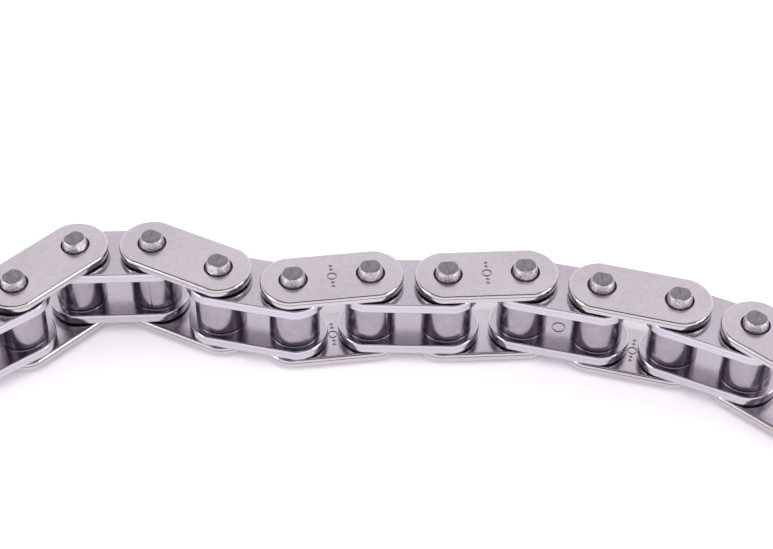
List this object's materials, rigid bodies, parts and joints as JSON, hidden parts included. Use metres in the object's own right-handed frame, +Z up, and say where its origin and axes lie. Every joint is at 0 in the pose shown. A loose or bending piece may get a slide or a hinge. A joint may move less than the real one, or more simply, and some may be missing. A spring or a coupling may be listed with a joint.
{
  "type": "roller chain",
  "caption": "Short length of simplex roller chain with straight-sided link plates, staked pins, bushes and free rollers, lying on its side in a gentle wave.",
  "frame": {"origin": "centre of the footprint, on the surface that the lower pin ends rest on", "axes": "+X along the length of the chain, +Z up along the pins, +Y across towards the hollow of the wave's far side"},
  "size_m": [0.1126, 0.0272, 0.0138],
  "materials": {
    "inner_plate_steel": "hardened and tumbled, bright satin",
    "outer_plate_steel": "hardened and tumbled, light satin",
    "bush_steel": "rolled and hardened, bright",
    "roller_steel": "hardened and polished",
    "pin_steel": "ground, with dark staked ends"
  },
  "bodies": {
    "inner_link_1": {"inner_plate_lower_1": "inner_plate_steel", "inner_plate_upper_1": "inner_plate_steel", "bush_1": "bush_steel", "bush_2": "bush_steel"},
    "outer_link_1": {"outer_plate_lower_1": "outer_plate_steel", "outer_plate_upper_1": "outer_plate_steel", "pin_1": "pin_steel", "pin_2": "pin_steel"},
    "inner_link_2": {"inner_plate_lower_2": "inner_plate_steel", "inner_plate_upper_2": "inner_plate_steel", "bush_3": "bush_steel", "bush_4": "bush_steel"},
    "outer_link_2": {"outer_plate_lower_2": "outer_plate_steel", "outer_plate_upper_2": "outer_plate_steel", "pin_3": "pin_steel", "pin_4": "pin_steel"},
    "inner_link_3": {"inner_plate_lower_3": "inner_plate_steel", "inner_plate_upper_3": "inner_plate_steel", "bush_5": "bush_steel", "bush_6": "bush_steel"},
    "outer_link_3": {"outer_plate_lower_3": "outer_plate_steel", "outer_plate_upper_3": "outer_plate_steel", "pin_5": "pin_steel", "pin_6": "pin_steel"},
    "inner_link_4": {"inner_plate_lower_4": "inner_plate_steel", "inner_plate_upper_4": "inner_plate_steel", "bush_7": "bush_steel", "bush_8": "bush_steel"},
    "outer_link_4": {"outer_plate_lower_4": "outer_plate_steel", "outer_plate_upper_4": "outer_plate_steel", "pin_7": "pin_steel", "pin_8": "pin_steel"},
    "inner_link_5": {"inner_plate_lower_5": "inner_plate_steel", "inner_plate_upper_5": "inner_plate_steel", "bush_9": "bush_steel", "bush_10": "bush_steel"},
    "outer_link_5": {"outer_plate_lower_5": "outer_plate_steel", "outer_plate_upper_5": "outer_plate_steel", "pin_9": "pin_steel", "pin_10": "pin_steel"},
    "inner_link_6": {"inner_plate_lower_6": "inner_plate_steel", "inner_plate_upper_6": "inner_plate_steel", "bush_11": "bush_steel", "bush_12": "bush_steel"},
    "outer_link_6": {"outer_plate_lower_6": "outer_plate_steel", "outer_plate_upper_6": "outer_plate_steel", "pin_11": "pin_steel", "pin_12": "pin_steel"},
    "roller_1": {"roller_1": "roller_steel"},
    "roller_2": {"roller_2": "roller_steel"},
    "roller_3": {"roller_3": "roller_steel"},
    "roller_4": {"roller_4": "roller_steel"},
    "roller_5": {"roller_5": "roller_steel"},
    "roller_6": {"roller_6": "roller_steel"},
    "roller_7": {"roller_7": "roller_steel"},
    "roller_8": {"roller_8": "roller_steel"},
    "roller_9": {"roller_9": "roller_steel"},
    "roller_10": {"roller_10": "roller_steel"},
    "roller_11": {"roller_11": "roller_steel"},
    "roller_12": {"roller_12": "roller_steel"}
  },
  "joints": [
    {"name": "pivot_1", "type": "hinge", "parent": "outer_link_1", "child": "inner_link_1", "pos_m": [-0.04467, 0.0022, 0.00691], "axis": [0, 0, -1], "range_deg": [-98, 82]},
    {"name": "pivot_2", "type": "hinge", "parent": "inner_link_2", "child": "outer_link_1", "pos_m": [-0.03806, 0.00905, 0.00691], "axis": [0, 0, 1], "range_deg": [-133, 47]},
    {"name": "pivot_3", "type": "hinge", "parent": "outer_link_2", "child": "inner_link_2", "pos_m": [-0.02854, 0.00955, 0.00691], "axis": [0, 0, -1], "range_deg": [-61, 119]},
    {"name": "pivot_4", "type": "hinge", "parent": "inner_link_3", "child": "outer_link_2", "pos_m": [-0.01998, 0.00537, 0.00691], "axis": [0, 0, 1], "range_deg": [-76.5, 103.5]},
    {"name": "pivot_5", "type": "hinge", "parent": "outer_link_3", "child": "inner_link_3", "pos_m": [-0.01068, 0.00331, 0.00691], "axis": [0, 0, -1], "range_deg": [-110.5, 69.5]},
    {"name": "pivot_6", "type": "hinge", "parent": "inner_link_4", "child": "outer_link_3", "pos_m": [-0.00125, 0.00464, 0.00691], "axis": [0, 0, 1], "range_deg": [-98.5, 81.5]},
    {"name": "pivot_7", "type": "hinge", "parent": "inner_link_4", "child": "outer_link_4", "pos_m": [0.00827, 0.00456, 0.00691], "axis": [0, 0, 1], "range_deg": [-94, 86]},
    {"name": "pivot_8", "type": "hinge", "parent": "outer_link_4", "child": "inner_link_5", "pos_m": [0.01778, 0.00514, 0.00691], "axis": [0, 0, -1], "range_deg": [-107, 73]},
    {"name": "pivot_9", "type": "hinge", "parent": "inner_link_5", "child": "outer_link_5", "pos_m": [0.02704, 0.00291, 0.00691], "axis": [0, 0, 1], "range_deg": [-89, 91]},
    {"name": "pivot_10", "type": "hinge", "parent": "outer_link_5", "child": "inner_link_6", "pos_m": [0.03626, 0.00053, 0.00691], "axis": [0, 0, -1], "range_deg": [-100, 80]},
    {"name": "pivot_11", "type": "hinge", "parent": "inner_link_6", "child": "outer_link_6", "pos_m": [0.04493, -0.00342, 0.00691], "axis": [0, 0, 1], "range_deg": [-74.5, 105.5]},
    {"name": "roller_1_spin", "type": "hinge", "parent": "inner_link_1", "child": "roller_1", "pos_m": [-0.05218, -0.00366, 0.00691], "axis": [0, 0, 1], "continuous": true},
    {"name": "roller_2_spin", "type": "hinge", "parent": "inner_link_1", "child": "roller_2", "pos_m": [-0.04467, 0.0022, 0.00691], "axis": [0, 0, 1], "continuous": true},
    {"name": "roller_3_spin", "type": "hinge", "parent": "inner_link_2", "child": "roller_3", "pos_m": [-0.03806, 0.00905, 0.00691], "axis": [0, 0, 1], "continuous": true},
    {"name": "roller_4_spin", "type": "hinge", "parent": "inner_link_2", "child": "roller_4", "pos_m": [-0.02854, 0.00955, 0.00691], "axis": [0, 0, 1], "continuous": true},
    {"name": "roller_5_spin", "type": "hinge", "parent": "inner_link_3", "child": "roller_5", "pos_m": [-0.01998, 0.00537, 0.00691], "axis": [0, 0, 1], "continuous": true},
    {"name": "roller_6_spin", "type": "hinge", "parent": "inner_link_3", "child": "roller_6", "pos_m": [-0.01068, 0.00331, 0.00691], "axis": [0, 0, 1], "continuous": true},
    {"name": "roller_7_spin", "type": "hinge", "parent": "inner_link_4", "child": "roller_7", "pos_m": [-0.00125, 0.00464, 0.00691], "axis": [0, 0, 1], "continuous": true},
    {"name": "roller_8_spin", "type": "hinge", "parent": "inner_link_4", "child": "roller_8", "pos_m": [0.00827, 0.00456, 0.00691], "axis": [0, 0, 1], "continuous": true},
    {"name": "roller_9_spin", "type": "hinge", "parent": "inner_link_5", "child": "roller_9", "pos_m": [0.01778, 0.00514, 0.00691], "axis": [0, 0, 1], "continuous": true},
    {"name": "roller_10_spin", "type": "hinge", "parent": "inner_link_5", "child": "roller_10", "pos_m": [0.02704, 0.00291, 0.00691], "axis": [0, 0, 1], "continuous": true},
    {"name": "roller_11_spin", "type": "hinge", "parent": "inner_link_6", "child": "roller_11", "pos_m": [0.03626, 0.00053, 0.00691], "axis": [0, 0, 1], "continuous": true},
    {"name": "roller_12_spin", "type": "hinge", "parent": "inner_link_6", "child": "roller_12", "pos_m": [0.04493, -0.00342, 0.00691], "axis": [0, 0, 1], "continuous": true}
  ]
}
